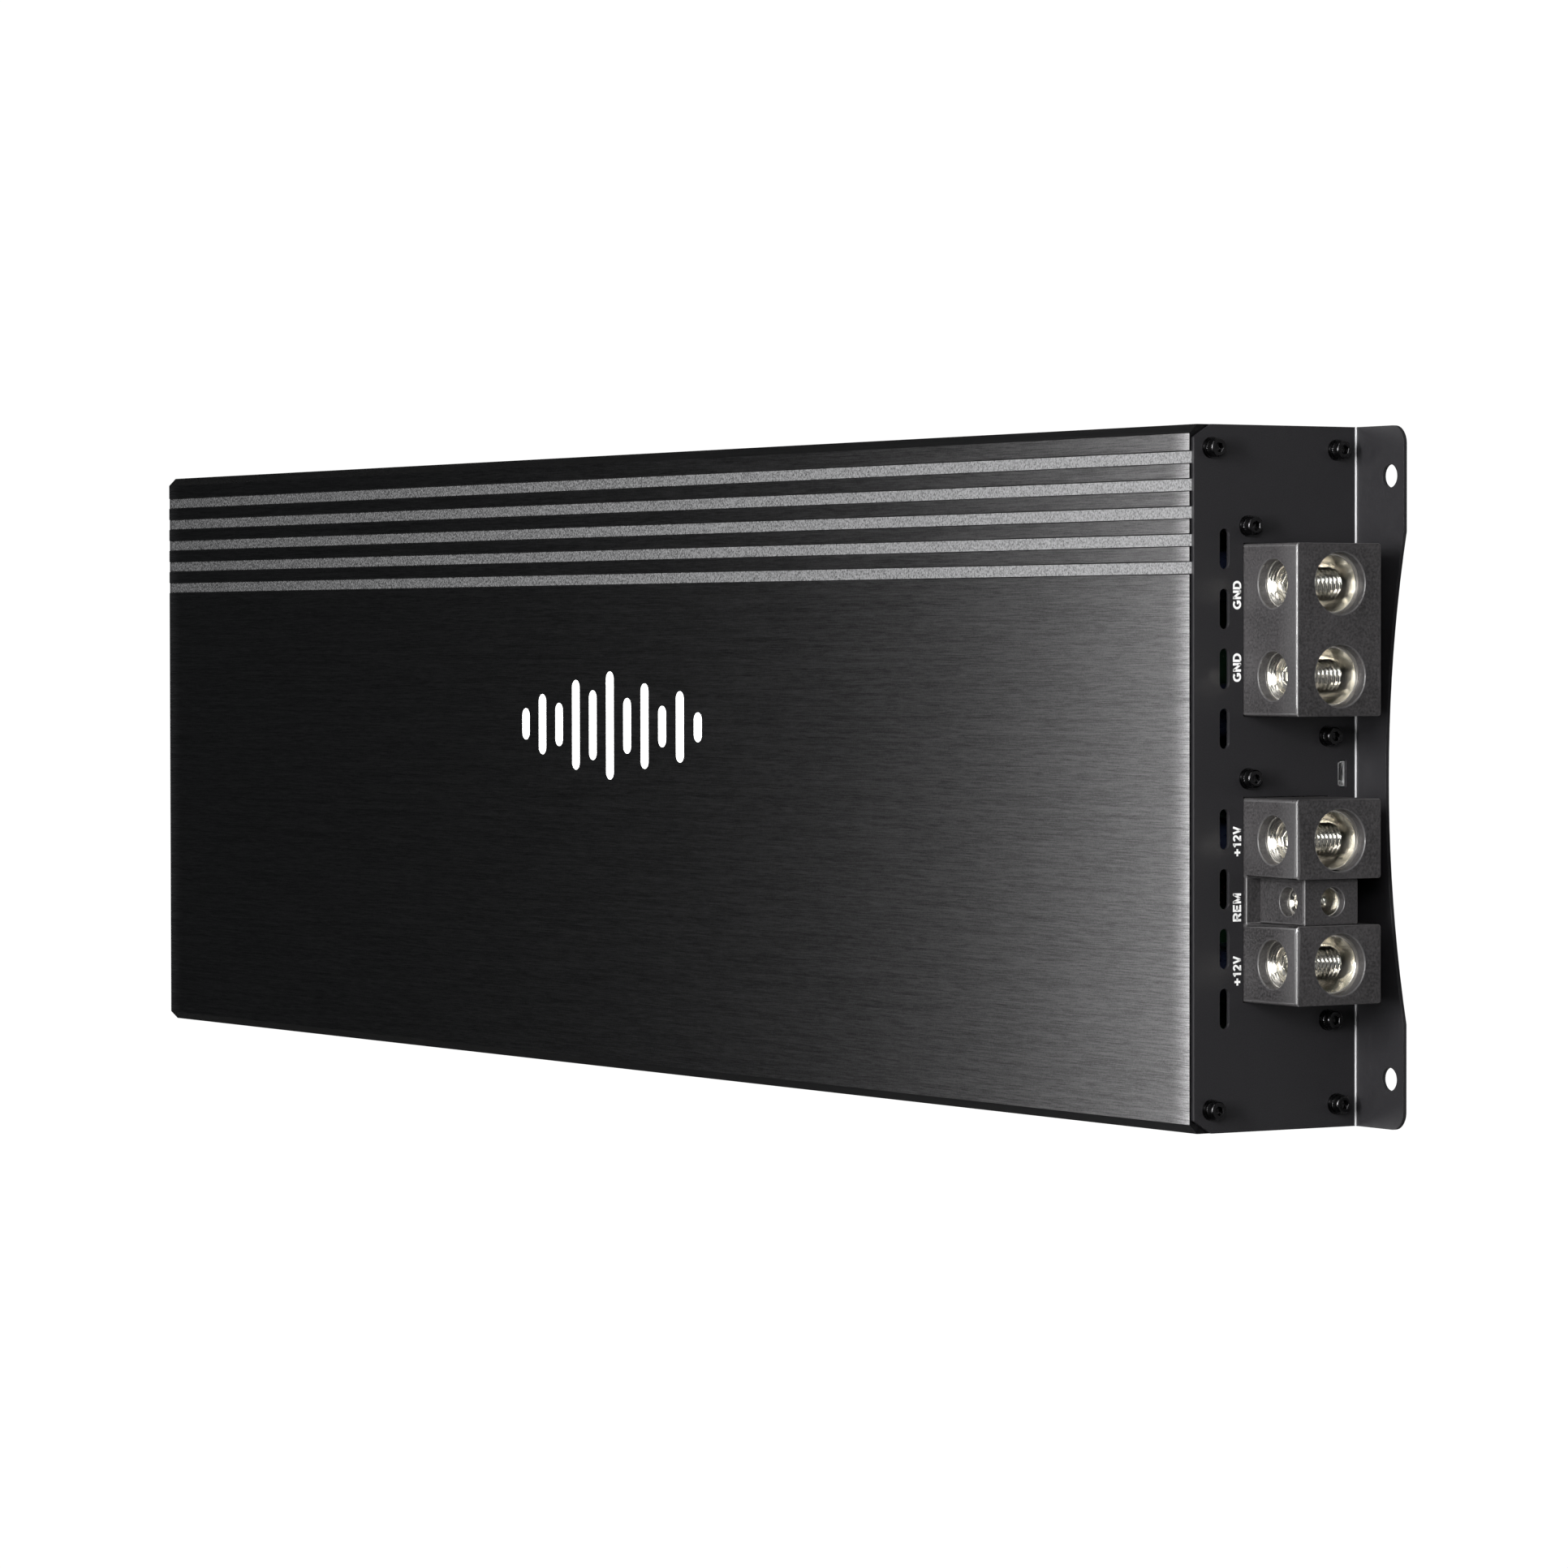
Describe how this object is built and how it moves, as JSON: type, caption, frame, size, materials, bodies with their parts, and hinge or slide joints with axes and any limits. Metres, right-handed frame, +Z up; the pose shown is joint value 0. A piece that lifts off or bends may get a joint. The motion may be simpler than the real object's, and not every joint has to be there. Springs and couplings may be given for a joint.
{
  "type": "car audio amplifier",
  "caption": "Long flat car audio amplifier in an extruded shell, with clamp terminals, signal jacks, control knobs and end flanges for bolting down.",
  "frame": {"origin": "centre of the footprint on the mounting plane", "axes": "+X towards the power terminals, +Y towards the grooved long edge, +Z up through the brushed face"},
  "size_m": [0.7308, 0.21, 0.062],
  "materials": {
    "anodised_shell": "brushed, black anodised",
    "coated_panel": "satin black powder coat",
    "base_coat": "satin black",
    "black_screw": "black oxide",
    "housing_plastic": "fine moulded texture",
    "plated_block": "nickel plated",
    "plated_screw": "nickel plated",
    "bright_steel": "bright",
    "gilt": "gold plated",
    "black_plastic": "moulded",
    "white_plastic": "glossy",
    "red_plastic": "glossy",
    "lens_white": "translucent diffuser",
    "led_blue": "clear",
    "led_red": "clear",
    "board_green": "solder mask",
    "board_white": "solder mask",
    "ferrite": "sintered",
    "powder_core": "painted",
    "copper": "enamelled wire",
    "can_sleeve": "sleeved",
    "pad_silicone": "soft",
    "nylon": "moulded",
    "bare_aluminium": "bare"
  },
  "bodies": {
    "root": {"heatsink_shell": "anodised_shell", "base_plate": "base_coat", "power_end_panel": "coated_panel", "signal_end_panel": "coated_panel", "panel_screws": "black_screw", "panel_washers": "black_screw", "panel_spring_washers": "black_screw", "base_plate_screws": "black_screw", "emblem_lens": "lens_white", "emblem_led_board": "board_white", "gnd_terminal_housing": "housing_plastic", "gnd_terminal_block": "plated_block", "positive_terminal_housing": "housing_plastic", "positive_terminal_blocks": "plated_block", "remote_terminal_housing": "housing_plastic", "remote_terminal_block": "plated_block", "usb_port_shell": "bright_steel", "usb_port_tongue": "black_plastic", "speaker_terminal_housing": "housing_plastic", "speaker_terminal_blocks": "plated_block", "rca_jack_body": "black_plastic", "rca_jack_shells": "gilt", "rca_inserts_white": "white_plastic", "rca_inserts_red": "red_plastic", "level_remote_port": "black_plastic", "control_board": "board_green", "control_pots": "black_plastic", "switch_bodies": "bright_steel", "power_led": "led_blue", "protect_led": "led_red", "main_board": "board_green", "board_spacers": "nylon", "board_screws": "bright_steel", "transformer_cores": "ferrite", "transformer_windings": "copper", "output_inductor_cores": "powder_core", "output_inductor_windings": "copper", "supply_capacitors": "can_sleeve", "rail_capacitors": "can_sleeve", "transistors": "black_plastic", "thermal_pads": "pad_silicone", "clamp_bars": "bare_aluminium", "clamp_screws": "bright_steel", "driver_board": "board_green", "signal_ribbon": "nylon"},
    "gnd_set_screw_1": {"gnd_set_screw_1": "plated_screw"},
    "gnd_set_screw_2": {"gnd_set_screw_2": "plated_screw"},
    "positive_set_screw_1": {"positive_set_screw_1": "plated_screw"},
    "positive_set_screw_2": {"positive_set_screw_2": "plated_screw"},
    "remote_set_screw": {"remote_set_screw": "plated_screw"},
    "speaker_set_screw_1": {"speaker_set_screw_1": "plated_screw"},
    "speaker_set_screw_2": {"speaker_set_screw_2": "plated_screw"},
    "speaker_set_screw_3": {"speaker_set_screw_3": "plated_screw"},
    "speaker_set_screw_4": {"speaker_set_screw_4": "plated_screw"},
    "phase_slider": {"phase_slider": "white_plastic"},
    "link_slider": {"link_slider": "white_plastic"},
    "level_knob": {"level_knob": "black_plastic"},
    "lowpass_knob": {"lowpass_knob": "black_plastic"},
    "subsonic_knob": {"subsonic_knob": "black_plastic"},
    "boost_knob": {"boost_knob": "black_plastic"}
  },
  "joints": [
    {"name": "gnd_set_screw_1_travel", "type": "slide", "parent": "root", "child": "gnd_set_screw_1", "axis": [0, 0, 1], "range_m": [-0.0006, 0.0145]},
    {"name": "gnd_set_screw_2_travel", "type": "slide", "parent": "root", "child": "gnd_set_screw_2", "axis": [0, 0, 1], "range_m": [-0.0006, 0.0145]},
    {"name": "positive_set_screw_1_travel", "type": "slide", "parent": "root", "child": "positive_set_screw_1", "axis": [0, 0, 1], "range_m": [-0.0006, 0.0145]},
    {"name": "positive_set_screw_2_travel", "type": "slide", "parent": "root", "child": "positive_set_screw_2", "axis": [0, 0, 1], "range_m": [-0.0006, 0.0145]},
    {"name": "remote_set_screw_travel", "type": "slide", "parent": "root", "child": "remote_set_screw", "axis": [0, 0, 1], "range_m": [-0.0009, 0.0065]},
    {"name": "speaker_set_screw_1_travel", "type": "slide", "parent": "root", "child": "speaker_set_screw_1", "axis": [0, 0, 1], "range_m": [-0.0019, 0.0072]},
    {"name": "speaker_set_screw_2_travel", "type": "slide", "parent": "root", "child": "speaker_set_screw_2", "axis": [0, 0, 1], "range_m": [-0.0019, 0.0072]},
    {"name": "speaker_set_screw_3_travel", "type": "slide", "parent": "root", "child": "speaker_set_screw_3", "axis": [0, 0, 1], "range_m": [-0.0019, 0.0072]},
    {"name": "speaker_set_screw_4_travel", "type": "slide", "parent": "root", "child": "speaker_set_screw_4", "axis": [0, 0, 1], "range_m": [-0.0019, 0.0072]},
    {"name": "phase_slider_travel", "type": "slide", "parent": "root", "child": "phase_slider", "axis": [0, 1, 0], "range_m": [0, 0.003]},
    {"name": "link_slider_travel", "type": "slide", "parent": "root", "child": "link_slider", "axis": [0, 1, 0], "range_m": [0, 0.003]},
    {"name": "level_knob_turn", "type": "hinge", "parent": "root", "child": "level_knob", "pos_m": [-0.3392, 0.043, 0.041], "axis": [-1, 0, 0], "range_deg": [-140, 140]},
    {"name": "lowpass_knob_turn", "type": "hinge", "parent": "root", "child": "lowpass_knob", "pos_m": [-0.3392, 0.027, 0.041], "axis": [-1, 0, 0], "range_deg": [-140, 140]},
    {"name": "subsonic_knob_turn", "type": "hinge", "parent": "root", "child": "subsonic_knob", "pos_m": [-0.3392, 0.011, 0.041], "axis": [-1, 0, 0], "range_deg": [-140, 140]},
    {"name": "boost_knob_turn", "type": "hinge", "parent": "root", "child": "boost_knob", "pos_m": [-0.3392, -0.005, 0.041], "axis": [-1, 0, 0], "range_deg": [-140, 140]}
  ]
}
